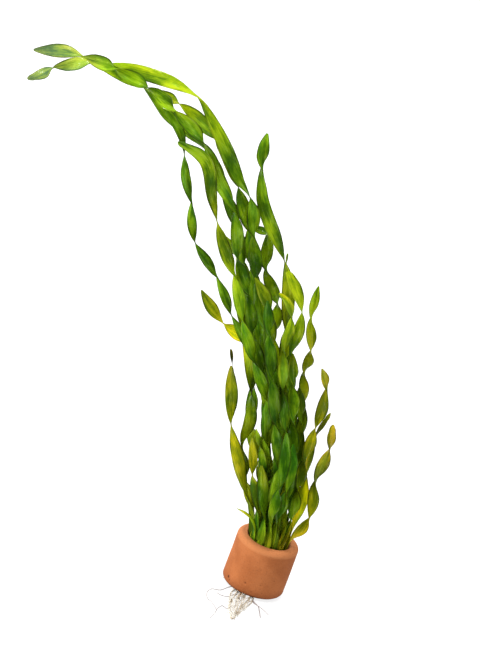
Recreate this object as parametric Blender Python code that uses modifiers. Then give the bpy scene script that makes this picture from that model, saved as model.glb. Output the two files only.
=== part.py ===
"""Vallisneria in a small clay aquarium pot.

The pot stands on roots that have grown out of its bottom hole and lie flat. About thirty twisted
ribbon leaves rise from the root ball, lean to the left and stream over at the top.
Lengths below are millimetres. +X is right, +Y is away from the front, +Z is up.
"""
import math

import bmesh
import bpy
from mathutils import Matrix, Vector
from mathutils.bvhtree import BVHTree

MM = 0.001

# Clay pot: a short straight cylinder with a thick rolled lip and a rounded foot.
POT_RADIUS = 25.0
POT_TOP = 44.4
POT_WALL = 7.7
POT_FLOOR = 6.0
LIP_ROUND = 4.0
MOUTH_ROUND = 1.5
FOOT_ROUND = 6.0
HOLE_RADIUS = 6.5
POT_STEPS = 36

# Roots: the ball fills the pot, the trailing roots lie on the table and the pot stands on them.
GAP = 0.3
ROOT_THICK = 1.2
ROOT_PRESS = 0.12
TABLE_SIZE = 200.0
POT_BASE = ROOT_THICK + GAP
BALL_TOP = 33.0
BALL_STEPS = 24

# Leaves: flat ribbons that turn over and over. A waist is where a ribbon shows only its edge.
LEAF_THICK = 0.55
STATION = 8.6
BASE_WIDTH = 0.56
FULL_WIDTH_AT = 62.0
TIP_TAPER = 22.0
FAN_OUT_AT = 120.0
FRONT_RISE = math.tan(math.radians(25.0))
CLEARANCE = 0.34
NUDGE = 0.25
NUDGE_ROUNDS = 600
RIM_LEAN = 0.3
BOW = "bow"

# Each leaf: its name, its width low down and near the tip, where it stands in the pot (x, y), how
# deep it lies once fanned out, and its route from the pot to its tip. A route is drawn as the leaf
# looks from the front, 25 degrees above the table: (x, height) is a waist, and (x, height, BOW)
# only bends it.
LEAVES = [
    ("leaf_01", (6.5, 6.8), (-12.4, 0), -1,
     [(-14, 66), (-22.5, 100), (-31.5, 131), (-44, 162), (-61, 187), (-77, 203, BOW),
      (-88, 213.5), (-108.5, 239.5), (-134, 261), (-142.5, 277, BOW), (-147.5, 292),
      (-159, 311, BOW), (-165.5, 328), (-172, 341, BOW), (-181, 352, BOW), (-196, 363)]),
    ("leaf_02", (8.0, 10.5), (-6, -3), -7,
     [(-10, 60), (-17, 84), (-26, 111), (-33, 143), (-48, 173), (-67, 203), (-82, 236),
      (-98, 260), (-113, 297), (-134, 319, BOW), (-154, 343.5), (-184, 361), (-209, 371.5),
      (-238, 377), (-264, 377.5), (-282, 375.8, BOW), (-304, 368)]),
    ("leaf_03", (8.0, 10.5), (-5.8, 3), 6,
     [(-9, 76), (-13, 107), (-26, 140), (-43, 176), (-61, 213), (-79, 249), (-93, 284),
      (-105, 312.5), (-119, 324.5, BOW), (-138.5, 347.5, BOW), (-168, 377.5), (-185, 382.3, BOW),
      (-203, 383, BOW), (-243, 380)]),
    ("leaf_04", (8.0, 10.0), (-4.8, 6), 12,
     [(-11, 82), (-17, 114), (-33, 150), (-53, 188), (-70, 224), (-86, 259), (-98, 287),
      (-110, 306, BOW), (-117, 318), (-130, 336, BOW), (-146, 350.5), (-163, 360.5, BOW),
      (-182, 368), (-208, 371)]),
    ("leaf_05", (7.0, 9.5), (-11.3, -6), -13,
     [(-13.5, 60), (-20.5, 94), (-30, 124), (-39, 154), (-58, 182), (-78, 212), (-96, 246),
      (-109.5, 262.5, BOW), (-122.5, 282.5), (-135, 304, BOW), (-143, 322, BOW),
      (-151, 332, BOW), (-159, 334.5, BOW), (-174, 337)]),
    ("leaf_06", (7.5, 9.0), (-1, 9), 17,
     [(-5, 78), (-10, 108), (-22, 142), (-37, 176), (-52, 210), (-57, 236), (-66, 247.5, BOW),
      (-75, 260.5), (-80, 277, BOW), (-84, 289.5), (-98, 290.5)]),
    ("leaf_07", (8.5, 10.0), (1.6, 6), 11,
     [(-3, 84), (-9, 116), (-21, 152), (-35, 188), (-43, 216), (-52, 246, BOW), (-63, 271.5),
      (-87, 301.5, BOW), (-97, 317, BOW), (-105.5, 341.5), (-109.5, 356, BOW), (-111, 370.5)]),
    ("leaf_08", (8.5, 8.5), (6.3, 0), 1,
     [(4, 72), (-2, 101), (-12, 134), (-22, 165), (-30, 184, BOW), (-34, 199), (-34.6, 217, BOW),
      (-37.3, 237), (-50.5, 257, BOW), (-61.5, 270.5), (-64, 280)]),
    ("leaf_09", (6.5, 7.5), (8, 3), 16,
     [(8, 70), (3, 99), (-4, 132), (-11, 164), (-16, 178, BOW), (-19.5, 189.5),
      (-19.3, 199, BOW), (-20.2, 208.3), (-24, 220, BOW), (-29, 234.7), (-31, 250, BOW),
      (-32.3, 263)]),
    ("leaf_10", (8.0, 8.5), (6.5, -3), -4,
     [(11, 66), (8, 92), (5, 118), (4, 147), (3.5, 168, BOW), (1.5, 182.5), (-2.5, 190.5, BOW),
      (-7.5, 197.5)]),
    ("leaf_11", (7.0, 9.5), (12.6, 0), 0.5,
     [(14.5, 57), (14, 82, BOW), (10, 107), (5, 127, BOW), (5, 144)]),
    ("leaf_12", (8.5, 8.5), (12.3, -3.4), -5,
     [(16.5, 49), (21.5, 61, BOW), (24.2, 72.5), (22, 88, BOW), (18.5, 104.5), (19.3, 119, BOW),
      (20.3, 134.5), (17.5, 147, BOW), (16.3, 155.5)]),
    ("leaf_13", (8.5, 9.5), (-12.2, 3), 6,
     [(-19, 62), (-33, 84), (-45, 111), (-45.8, 133, BOW), (-52, 156), (-61, 180, BOW),
      (-72, 196.5), (-80, 200.8, BOW), (-91, 204.3), (-104.5, 213.3, BOW), (-117, 225)]),
    ("leaf_14", (8.5, 9.5), (-12.4, -3), -7,
     [(-14.5, 46, BOW), (-18.5, 57, BOW), (-26.5, 71), (-43, 97, BOW), (-58.7, 125),
      (-67.5, 152, BOW), (-74.5, 174.5), (-79.5, 186)]),
    ("leaf_15", (5.5, 5.5), (-6.3, -6), -15,
     [(-12, 64), (-20, 92), (-31.5, 116), (-35, 122, BOW), (-39.5, 129)]),
    ("leaf_16", (7.0, 7.0), (-9.5, -9), -19,
     [(-16, 64), (-29.2, 89.8), (-33, 102, BOW), (-40, 121)]),
    ("leaf_17", (7.5, 7.5), (-4.5, 12), 23,
     [(-12, 66), (-21, 97), (-30.5, 128), (-39, 157), (-55, 187), (-70, 215), (-84, 243),
      (-100, 263), (-109, 271, BOW), (-115, 276)]),
    ("leaf_18", (7.5, 7.5), (4.6, -6), -14,
     [(0, 70), (-6, 101), (-17, 135), (-30, 168), (-40, 201), (-43, 229), (-51, 241, BOW),
      (-59.5, 245.5)]),
    ("leaf_19", (8.5, 9.5), (-1.2, -6), -12,
     [(-2, 61), (-9, 92), (-18, 124), (-33, 160), (-50, 195), (-60, 226), (-69, 239, BOW),
      (-81, 251)]),
    ("leaf_20", (8.0, 9.0), (-8, 9), 17,
     [(-13.5, 62), (-20, 85), (-27.5, 106), (-37, 117, BOW), (-45.5, 132), (-53, 163),
      (-64, 186, BOW), (-74, 204), (-82, 221, BOW), (-91, 238)]),
    ("leaf_21", (9.0, 9.0), (-3.2, -9), -19,
     [(-7, 72), (-11.5, 103), (-26, 138), (-41, 174), (-55, 209), (-66, 236)]),
    ("leaf_22", (9.0, 9.0), (0, 0), -1,
     [(-4, 70), (-8, 100), (-20, 134), (-37, 168), (-50, 195), (-59, 216)]),
    ("leaf_23", (9.0, 9.0), (9.8, -6), -9,
     [(3, 80), (-4, 113), (-14, 146), (-24.5, 176), (-33, 201)]),
    ("leaf_24", (9.0, 9.0), (1.2, 3), 6,
     [(5, 72), (1, 102), (-5, 133, BOW), (-9, 150), (-19, 175)]),
    ("leaf_25", (2.8, 2.8), (-9.5, -11.4), -19,
     [(-13, 47), (-19, 56, BOW), (-25, 57.7, BOW), (-32, 59)]),
    ("leaf_26", (3.6, 3.6), (9.2, -9), -11, [(12.5, 53, BOW), (12.3, 66)]),
    ("leaf_27", (3.2, 3.2), (7.5, -12), -14, [(8.8, 50, BOW), (8.7, 63)]),
    ("leaf_28", (9.0, 9.0), (-6.2, 0), 2,
     [(-10, 78), (-15, 110), (-29, 138, BOW), (-43, 158)]),
    ("leaf_29", (9.0, 9.0), (0.2, -3), -6,
     [(-3, 72), (-9, 98), (-17, 121, BOW), (-26, 140)]),
    ("leaf_30", (9.5, 9.5), (-4.6, -12), -24,
     [(-9, 60), (-17, 80, BOW), (-25.5, 101)]),
    ("leaf_31", (8.5, 8.5), (1.8, -12), -25,
     [(-3, 60), (-6, 86), (-9, 108, BOW), (-16, 135)]),
    ("leaf_32", (8.0, 8.0), (2.6, 12), 24,
     [(-6, 74), (-11, 104), (-24, 138), (-37, 170), (-50, 200)]),
    ("leaf_33", (8.0, 8.0), (6.8, 9), 18,
     [(1, 76), (-4, 104), (-11, 134), (-18, 158)]),
    ("leaf_34", (8.5, 8.5), (3.2, -9), -18,
     [(1, 62), (0, 86), (-3, 108, BOW), (-8, 128)]),
    ("leaf_35", (8.0, 9.5), (-11.3, 6.2), 15,
     [(-17, 88), (-28, 119), (-34.5, 148), (-49, 176), (-64, 201), (-77, 228), (-92, 257),
      (-107, 285), (-127, 312), (-150, 338), (-170, 349, BOW), (-188, 356, BOW), (-212, 370.5),
      (-257, 375), (-284.3, 360), (-292, 351, BOW), (-301, 343)]),
    ("leaf_36", (4.5, 4.0), (7.5, 6.2), 9,
     [(9, 70), (6, 104), (6.3, 141), (8.3, 152, BOW), (11, 164)]),
]

# Trailing roots, as routes on the table from under the hole, with widths at both ends.
ROOTS = [
    (5.0, 1.6, [(-3, 2), (-6, -24), (-4, -46), (-5, -68)]),
    (4.5, 1.2, [(2, 0), (2, -28), (-1, -48), (-4, -74)]),
    (4.5, 1.6, [(-4, 0), (-13, -22), (-13, -36), (-9, -50)]),
    (2.6, 1.0, [(-4, -2), (-15, -16), (-19, -27), (-28, -31), (-31, -40), (-29, -51), (-22, -61)]),
    (2.6, 1.0, [(-5, -12), (-10, -31), (-16, -34), (-24, -34.5)]),
    (3.0, 1.0, [(2, -6), (6, -26), (13, -31), (20, -40)]),
    (2.6, 1.0, [(3, -10), (7, -28), (11, -38), (15, -51)]),
    (4.0, 1.6, [(2, 0), (11, 9), (17, 15)]),
    (4.0, 1.6, [(-2, 0), (-11, 9), (-17, 14)]),
    (4.0, 1.6, [(2, 0), (14, -3), (21, -7)]),
    (4.0, 1.6, [(-2, 0), (-14, -2), (-22, -6)]),
]


def start_clean():
    for thing in list(bpy.data.objects):
        bpy.data.objects.remove(thing)


def group(name):
    """A named collection in the scene."""
    collection = bpy.data.collections.new(name)
    bpy.context.scene.collection.children.link(collection)
    return collection


def material(name, colour, roughness):
    made = bpy.data.materials.new(name)
    made.use_nodes = True
    made.diffuse_color = (*colour, 1.0)
    shader = made.node_tree.nodes["Principled BSDF"]
    shader.inputs["Base Color"].default_value = (*colour, 1.0)
    shader.inputs["Roughness"].default_value = roughness
    shader.inputs["Metallic"].default_value = 0.0
    return made


def add(name, points, faces, finish, collection, smooth=False):
    """One closed solid from points in millimetres."""
    mesh = bpy.data.meshes.new(name)
    mesh.from_pydata([Vector(point) * MM for point in points], [], faces)
    mesh.materials.append(finish)
    mesh.polygons.foreach_set("use_smooth", [smooth] * len(mesh.polygons))
    mesh.update()
    made = bpy.data.objects.new(name, mesh)
    collection.objects.link(made)
    return made


def arc(centre, radius, start, end, steps):
    """Points of a round corner, (radius from the axis, height), angles in degrees."""
    turns = [math.radians(start + (end - start) * i / steps) for i in range(steps + 1)]
    return [(centre[0] + radius * math.cos(a), centre[1] + radius * math.sin(a)) for a in turns]


def turned(name, profile, steps, closed, finish, collection):
    """A profile turned about +Z with the Screw modifier."""
    edges = [(i, i + 1) for i in range(len(profile) - 1)]
    if closed:
        edges.append((len(profile) - 1, 0))
    mesh = bpy.data.meshes.new(name)
    mesh.from_pydata([(r * MM, 0.0, z * MM) for r, z in profile], edges, [])
    mesh.materials.append(finish)
    made = bpy.data.objects.new(name, mesh)
    collection.objects.link(made)
    screw = made.modifiers.new("Turn", "SCREW")
    screw.axis = "Z"
    screw.steps = steps
    screw.render_steps = steps
    screw.use_merge_vertices = True
    screw.merge_threshold = 0.00001
    screw.use_smooth_shade = True
    return made


def make_pot(collection):
    inner = POT_RADIUS - POT_WALL
    floor_top = POT_BASE + POT_FLOOR
    profile = arc((POT_RADIUS - LIP_ROUND, POT_TOP - LIP_ROUND), LIP_ROUND, 90, 0, 4)
    profile += arc((POT_RADIUS - FOOT_ROUND, POT_BASE + FOOT_ROUND), FOOT_ROUND, 0, -90, 4)
    profile += [(HOLE_RADIUS, POT_BASE), (HOLE_RADIUS, floor_top), (inner - 3.0, floor_top)]
    profile += [(inner, floor_top + 3.0)]
    profile += arc((inner + MOUTH_ROUND, POT_TOP - MOUTH_ROUND), MOUTH_ROUND, 180, 90, 2)
    clay = material("clay", (0.56, 0.20, 0.06), 0.85)
    return turned("clay_pot", profile, POT_STEPS, True, clay, collection)


def make_root_ball(collection):
    wall = POT_RADIUS - POT_WALL - GAP
    low = POT_BASE + POT_FLOOR + GAP
    profile = [(0.0, BALL_TOP), (wall - 1.5, BALL_TOP), (wall, BALL_TOP - 1.5), (wall, low + 3.2)]
    profile += [(wall - 3.1, low), (HOLE_RADIUS - GAP, low), (HOLE_RADIUS - GAP, low - 3.0)]
    profile += [(0.0, low - 3.0)]
    brown = material("root_fibre", (0.20, 0.12, 0.05), 0.95)
    return turned("root_ball", profile, BALL_STEPS, False, brown, collection)


def smooth(amount):
    """0 to 1 with a gentle start and end."""
    amount = min(max(amount, 0.0), 1.0)
    return amount * amount * (3.0 - 2.0 * amount)


def through(points, per_span=16):
    """A smooth curve through the points, with the number of the span each sample is in."""
    ends = [points[0] * 2 - points[1]] + points + [points[-1] * 2 - points[-2]]
    samples = []
    for i in range(len(points) - 1):
        before, start, end, after = ends[i:i + 4]
        leave = (end - before) * 0.5 * min(1.0, (end - start).length / (start - before).length)
        reach = (after - start) * 0.5 * min(1.0, (end - start).length / (after - end).length)
        for j in range(per_span):
            t = j / per_span
            bend = start * (2 * t**3 - 3 * t**2 + 1) + end * (3 * t**2 - 2 * t**3)
            bend += leave * (t**3 - 2 * t**2 + t) + reach * (t**3 - t**2)
            samples.append((bend, i + t))
    samples.append((points[-1], len(points) - 1.0))
    return samples


def drape(name, widths, stand, depth, route):
    """Stations of one leaf: its seen place, its depth, its turn and its width."""
    base_seen = BALL_TOP + GAP + stand[1] * FRONT_RISE
    bends = [Vector((stand[0], base_seen))] + [Vector(point[:2]) for point in route]
    waists = [0] + [i + 1 for i, point in enumerate(route) if len(point) == 2]
    samples = through(bends)
    along = [0.0]
    for (here, _), (there, _) in zip(samples, samples[1:]):
        along.append(along[-1] + (there - here).length)
    marks = [along[[s[1] for s in samples].index(float(w))] for w in waists]
    length = along[-1]
    stations = []
    for turn, (low, high) in enumerate(zip(marks, marks[1:])):
        last = high == marks[-1]
        count = max(2, round((high - low) / STATION))
        for i in range(count + (1 if last else 0)):
            s = low + (high - low) * i / count
            swing = (s - low) / (high - low)
            if turn == 0:
                angle = swing * 0.5
            elif last:
                angle = turn - 0.5 + swing * 0.8
            else:
                angle = turn - 0.5 + swing
            stations.append((s, angle * math.pi))
    leaf = {"name": name, "spine": [], "angle": [], "half": [], "depth": []}
    for s, angle in stations:
        k = max(i for i, a in enumerate(along) if a <= s + 1e-9)
        k = min(k, len(along) - 2)
        part = (s - along[k]) / (along[k + 1] - along[k])
        leaf["spine"].append(samples[k][0].lerp(samples[k + 1][0], part))
        leaf["angle"].append(angle)
        grown = BASE_WIDTH + (1.0 - BASE_WIDTH) * smooth(s / min(FULL_WIDTH_AT, length * 0.5))
        left = min((length - s) / min(TIP_TAPER, length * 0.4), 1.0)
        pointed = max(math.sin(left * math.pi * 0.5), 0.08)
        full = widths[0] + (widths[1] - widths[0]) * s / length
        leaf["half"].append(full * 0.5 * grown * pointed)
        leaf["depth"].append(stand[1] + (depth - stand[1]) * smooth(s / FAN_OUT_AT))
    return leaf


def ribbon(leaf, thick):
    """Points and faces of a closed ribbon, four points to a station."""
    spots = [Vector((p.x, d, p.y - d * FRONT_RISE)) for p, d in zip(leaf["spine"], leaf["depth"])]
    sight = Vector((0.0, 1.0, -FRONT_RISE)).normalized()
    points = []
    for i, spot in enumerate(spots):
        ahead = (spots[min(i + 1, len(spots) - 1)] - spots[max(i - 1, 0)]).normalized()
        side = ahead.cross(sight).normalized()
        facing = side.cross(ahead)
        across = side * math.cos(leaf["angle"][i]) + facing * math.sin(leaf["angle"][i])
        if i == 0:
            across.z = 0.0
            across.normalize()
            ahead = Vector((0.0, 0.0, 1.0))
        normal = across.cross(ahead).normalized()
        edge = across * leaf["half"][i]
        skin = normal * thick * 0.5
        points += [spot - edge - skin, spot + edge - skin, spot + edge + skin, spot - edge + skin]
    faces = [(0, 1, 2), (0, 2, 3)]
    for i in range(len(spots) - 1):
        low, high = i * 4, i * 4 + 4
        faces += [(low, high + 1, low + 1), (low, high, high + 1)]
        faces += [(low + 1, high + 2, low + 2), (low + 1, high + 1, high + 2)]
        faces += [(low + 3, low + 2, high + 2), (low + 3, high + 2, high + 3)]
        faces += [(low, low + 3, high + 3), (low, high + 3, high)]
    end = len(points) - 4
    faces += [(end, end + 2, end + 1), (end, end + 3, end + 2)]
    return points, faces


def station_of(face):
    return max(0, face - 2) // 8


def part_leaves(leaves):
    """Where two leaves would touch, the front one moves forward and the back one back."""
    for _ in range(NUDGE_ROUNDS):
        hulls = [ribbon(leaf, LEAF_THICK + CLEARANCE) for leaf in leaves]
        trees = [BVHTree.FromPolygons(*hull) for hull in hulls]
        moved = hold_in_mouth(leaves, hulls)
        for a in range(len(leaves)):
            for b in range(a + 1, len(leaves)):
                hits = trees[a].overlap(trees[b])
                if not hits:
                    continue
                moved = True
                spots = {(station_of(i), station_of(j)) for i, j in hits}
                fronts = sum(leaves[b]["depth"][j] - leaves[a]["depth"][i] for i, j in spots)
                way = NUDGE if fronts >= 0 else -NUDGE
                nudge(leaves[a], {i for i, _ in spots}, -way)
                nudge(leaves[b], {j for _, j in spots}, way)
        if not moved:
            return
    print("leaves still touch after", NUDGE_ROUNDS, "rounds")


def hold_in_mouth(leaves, hulls):
    """Leaves that would cut the pot's rim move back towards the middle of its mouth."""
    moved = False
    for leaf, (points, _) in zip(leaves, hulls):
        for i in range(1, len(leaf["depth"])):
            corners = points[i * 4:i * 4 + 4]
            lowest = min(corner.z for corner in corners)
            reach = max(math.hypot(corner.x, corner.y) for corner in corners)
            room = POT_RADIUS - POT_WALL - GAP + RIM_LEAN * max(lowest - POT_TOP + MOUTH_ROUND, 0.0)
            if lowest < POT_TOP + STATION and reach > room:
                nudge(leaf, {i}, -math.copysign(NUDGE, leaf["depth"][i]))
                moved = True
    return moved


def nudge(leaf, places, way):
    """Moves a leaf in depth round the given stations, less and less further off."""
    for i in range(1, len(leaf["depth"])):
        off = min(abs(i - place) for place in places)
        leaf["depth"][i] += way * max(0.0, 1.0 - off / 5.0)


def make_leaves(collection):
    leaves = [drape(*leaf) for leaf in LEAVES]
    part_leaves(leaves)
    green = material("leaf_green", (0.10, 0.24, 0.02), 0.45)
    for leaf in leaves:
        add(leaf["name"], *ribbon(leaf, LEAF_THICK), green, collection)


def root_strand(name, wide, narrow, route, finish):
    """A root as a bevelled curve that tapers along its route, pressed a little into the table."""
    curve = bpy.data.curves.new(name, "CURVE")
    curve.dimensions = "3D"
    curve.twist_mode = "Z_UP"
    curve.bevel_depth = MM
    curve.bevel_resolution = 1
    curve.use_fill_caps = True
    spline = curve.splines.new("POLY")
    spline.points.add(len(route) - 1)
    for i, (x, y) in enumerate(route):
        radius = (wide + (narrow - wide) * i / (len(route) - 1)) * 0.5
        spline.points[i].co = (x * MM, y * MM, radius * MM, 1.0)
        spline.points[i].radius = radius
    tube = bpy.data.objects.new(name, curve)
    bpy.context.scene.collection.objects.link(tube)
    mesh = bpy.data.meshes.new_from_object(tube.evaluated_get(bpy.context.evaluated_depsgraph_get()))
    bpy.data.objects.remove(tube)
    mesh.transform(Matrix.Diagonal((1.0, 1.0, ROOT_THICK / wide, 1.0)))
    mesh.transform(Matrix.Translation((0.0, 0.0, -ROOT_PRESS * MM)))
    mesh.materials.append(finish)
    shell = bmesh.new()
    shell.from_mesh(mesh)
    bmesh.ops.remove_doubles(shell, verts=shell.verts, dist=0.00001)
    bmesh.ops.recalc_face_normals(shell, faces=shell.faces)
    shell.to_mesh(mesh)
    shell.free()
    return bpy.data.objects.new(name, mesh)


def as_cutter(thing, tools):
    tools.objects.link(thing)
    thing.hide_render = True
    thing.display_type = "WIRE"


def table_block():
    """A block whose top is the table, for cutting the roots' undersides flat."""
    mesh = bpy.data.meshes.new("table_block")
    shell = bmesh.new()
    bmesh.ops.create_cube(shell, size=TABLE_SIZE * MM)
    shell.to_mesh(mesh)
    shell.free()
    block = bpy.data.objects.new("table_block", mesh)
    block.location.z = -TABLE_SIZE * 0.5 * MM
    return block


def make_roots(collection, tools):
    """The trailing roots and the neck of root in the pot's hole, joined in one solid."""
    pale = material("root_pale", (0.55, 0.45, 0.30), 0.8)
    neck_top = POT_BASE + POT_FLOOR - 3.0
    radius = HOLE_RADIUS - GAP
    profile = [(0.0, neck_top), (radius, neck_top), (radius, -1.0), (0.0, -1.0)]
    roots = turned("roots", profile, 20, False, pale, collection)
    for i, (wide, narrow, route) in enumerate(ROOTS):
        strand = root_strand(f"strand_{i + 1:02d}", wide, narrow, route, pale)
        as_cutter(strand, tools)
        join = roots.modifiers.new(f"Join {i + 1}", "BOOLEAN")
        join.operation = "UNION"
        join.solver = "EXACT"
        join.object = strand
    block = table_block()
    as_cutter(block, tools)
    level = roots.modifiers.new("Flat underside", "BOOLEAN")
    level.operation = "DIFFERENCE"
    level.solver = "EXACT"
    level.object = block
    level.use_self = True


def main():
    start_clean()
    plant = group("vallisneria_in_pot")
    tools = group("cutters")
    make_pot(plant)
    make_root_ball(plant)
    make_roots(plant, tools)
    make_leaves(plant)


main()
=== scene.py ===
"""A twisted-leaf vallisneria growing in its small clay aquarium pot.

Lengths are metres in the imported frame: +X right, +Y away from the front, +Z up, the table at 0.
"""
import math
import random

import bmesh
import bpy
import numpy as np
from mathutils import Matrix, Vector, noise


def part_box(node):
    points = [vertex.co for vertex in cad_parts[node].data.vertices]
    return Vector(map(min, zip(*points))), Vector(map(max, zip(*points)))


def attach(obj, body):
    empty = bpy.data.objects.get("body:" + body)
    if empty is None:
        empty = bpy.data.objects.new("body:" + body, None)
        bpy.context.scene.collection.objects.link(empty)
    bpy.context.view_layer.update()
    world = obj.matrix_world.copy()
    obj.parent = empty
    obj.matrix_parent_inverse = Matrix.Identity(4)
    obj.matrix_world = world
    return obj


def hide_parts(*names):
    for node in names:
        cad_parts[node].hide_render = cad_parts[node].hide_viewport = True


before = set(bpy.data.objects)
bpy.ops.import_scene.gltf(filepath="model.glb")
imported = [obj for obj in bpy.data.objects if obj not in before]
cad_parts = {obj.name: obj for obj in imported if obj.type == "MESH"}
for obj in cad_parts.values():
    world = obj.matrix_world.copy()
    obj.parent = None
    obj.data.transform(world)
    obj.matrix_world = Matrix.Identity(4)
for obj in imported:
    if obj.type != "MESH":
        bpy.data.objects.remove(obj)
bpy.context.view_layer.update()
MM = 0.001


# View
# The plant is looked at from the front and a little above, through a long lens. The camera is
# turned about its own axis, so the pot leans to the right as if the plant were held by its leaves.
LOOK_DOWN = math.radians(25.0)
ROLL = math.radians(20.3)
LOOK_AT = Vector((-79.95, 0.0, 209.8)) * MM
STAND_OFF = 18.0
VIEW_TALL = 503.9 * MM

level_right = Vector((1.0, 0.0, 0.0))
level_up = Vector((0.0, math.sin(LOOK_DOWN), math.cos(LOOK_DOWN)))
towards_camera = Vector((0.0, -math.cos(LOOK_DOWN), math.sin(LOOK_DOWN)))
picture_right = level_right * math.cos(ROLL) + level_up * math.sin(ROLL)
picture_up = level_up * math.cos(ROLL) - level_right * math.sin(ROLL)

lens = bpy.data.cameras.new("camera")
lens.sensor_fit = "VERTICAL"
lens.lens = lens.sensor_height * STAND_OFF / VIEW_TALL
lens.clip_end = 40.0
camera = bpy.data.objects.new("camera", lens)
bpy.context.scene.collection.objects.link(camera)
turn = Matrix((picture_right, picture_up, towards_camera)).transposed()
camera.matrix_world = Matrix.Translation(LOOK_AT + towards_camera * STAND_OFF) @ turn.to_4x4()
bpy.context.scene.camera = camera
bpy.context.scene.view_settings.view_transform = "Standard"


# Table and light
# A wide white light table in a white room. A large soft lamp to the upper left of the camera is the
# main light. One overhead lights the pot's lip, and one behind the plant shines through its leaves.
def lamp(name, size, power, place, aim, colour):
    light = bpy.data.lights.new(name, "AREA")
    light.size = size
    light.energy = power
    light.color = colour
    holder = bpy.data.objects.new(name, light)
    bpy.context.scene.collection.objects.link(holder)
    holder.location = place
    holder.rotation_euler = (Vector(aim) - Vector(place)).to_track_quat("-Z", "Y").to_euler()


def flat_table():
    mesh = bpy.data.meshes.new("table")
    shell = bmesh.new()
    bmesh.ops.create_grid(shell, x_segments=1, y_segments=1, size=6.0)
    bmesh.ops.translate(shell, verts=shell.verts, vec=(0.0, 0.0, -0.1 * MM))
    shell.to_mesh(mesh)
    shell.free()
    white = bpy.data.materials.new("table_white")
    white.use_nodes = True
    shader = white.node_tree.nodes["Principled BSDF"]
    shader.inputs["Base Color"].default_value = (0.22, 0.22, 0.22, 1.0)
    shader.inputs["Roughness"].default_value = 0.9
    shader.inputs["Specular IOR Level"].default_value = 0.0
    shader.inputs["Emission Color"].default_value = (1.0, 1.0, 1.0, 1.0)
    shader.inputs["Emission Strength"].default_value = 0.80
    mesh.materials.append(white)
    table = bpy.data.objects.new("table", mesh)
    bpy.context.scene.collection.objects.link(table)


flat_table()
lamp("key", 1.0, 72.0, (-1.75, -1.0, 1.3), (-0.05, 0.0, 0.15), (1.0, 0.99, 0.97))
lamp("overhead", 0.7, 26.0, (0.1, -0.2, 2.2), (0.0, 0.0, 0.1), (1.0, 1.0, 1.0))
lamp("through", 0.8, 20.0, (-0.5, 1.2, 0.9), (-0.1, 0.0, 0.2), (1.0, 1.0, 0.95))
room = bpy.data.worlds.new("room")
room.use_nodes = True
room.node_tree.nodes["Background"].inputs["Color"].default_value = (1.0, 1.0, 1.0, 1.0)
room.node_tree.nodes["Background"].inputs["Strength"].default_value = 0.86
bpy.context.scene.world = room


# Clay pot
# A short pot of unglazed red clay, thrown thick, with a wide rounded lip and a soft foot. Firing
# left it a little uneven, with a few pits where grit burned out, the deepest of them near the foot.
class Wire:
    """A node's output. Sums, differences and products of it add Math nodes to its tree."""

    def __init__(self, recipe, socket):
        self.recipe = recipe
        self.socket = socket

    def maths(self, operation, *values):
        return self.recipe.node("ShaderNodeMath", {"operation": operation}, dict(enumerate(values)))

    def __add__(self, other):
        return self.maths("ADD", self, other)

    def __radd__(self, other):
        return self.maths("ADD", other, self)

    def __sub__(self, other):
        return self.maths("SUBTRACT", self, other)

    def __rsub__(self, other):
        return self.maths("SUBTRACT", other, self)

    def __mul__(self, other):
        return self.maths("MULTIPLY", self, other)

    def wave(self):
        return self.maths("SINE", self)

    def size(self):
        return self.maths("ABSOLUTE", self)

    def ramp(self, low, high, start=0.0, end=1.0):
        """start below low, end above high, and smooth between them."""
        settings = {"interpolation_type": "SMOOTHSTEP"}
        values = {"Value": self, 1: low, 2: high, 3: start, 4: end}
        return self.recipe.node("ShaderNodeMapRange", settings, values)


class Recipe:
    """Adds nodes to one tree: settings first, then a value or a wire for each socket."""

    def __init__(self, tree):
        self.tree = tree

    def node(self, kind, settings=None, sockets=None, output=0):
        made = self.tree.nodes.new(kind)
        for name, value in (settings or {}).items():
            setattr(made, name, value)
        for name, value in (sockets or {}).items():
            if isinstance(value, Wire):
                self.tree.links.new(value.socket, made.inputs[name])
            else:
                made.inputs[name].default_value = value
        return Wire(self, made.outputs[output])

    def mix(self, amount, first, second):
        """first where amount is 0 and second where it is 1, both colours."""
        colours = {6: first, 7: second}
        return self.node("ShaderNodeMix", {"data_type": "RGBA"}, {0: amount, **colours}, output=2)

    def tint(self, colour, by):
        """A colour multiplied by another, channel by channel."""
        return self.node("ShaderNodeVectorMath", {"operation": "MULTIPLY"}, {0: colour, 1: by})

    def grain(self, where, scale, detail, rough):
        sockets = {"Vector": where, "Scale": scale, "Detail": detail, "Roughness": rough}
        return self.node("ShaderNodeTexNoise", None, sockets)

    def bump(self, height, depth, strength=1.0):
        sockets = {"Height": height, "Distance": depth, "Strength": strength}
        return self.node("ShaderNodeBump", None, sockets)


def finish_named(name):
    """A new material's recipe, its Principled shader and the material itself."""
    made = bpy.data.materials.new(name)
    made.use_nodes = True
    return Recipe(made.node_tree), made.node_tree.nodes["Principled BSDF"], made


def feed(shader, name, wire):
    wire.recipe.tree.links.new(wire.socket, shader.inputs[name])


def solid_piece(name, mesh, finish, cad_node):
    """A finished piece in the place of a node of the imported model."""
    mesh.materials.append(finish)
    mesh.polygons.foreach_set("use_smooth", [True] * len(mesh.polygons))
    piece = bpy.data.objects.new(name, mesh)
    bpy.context.scene.collection.objects.link(piece)
    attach(piece, "root")
    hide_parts(cad_node)
    return piece


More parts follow.
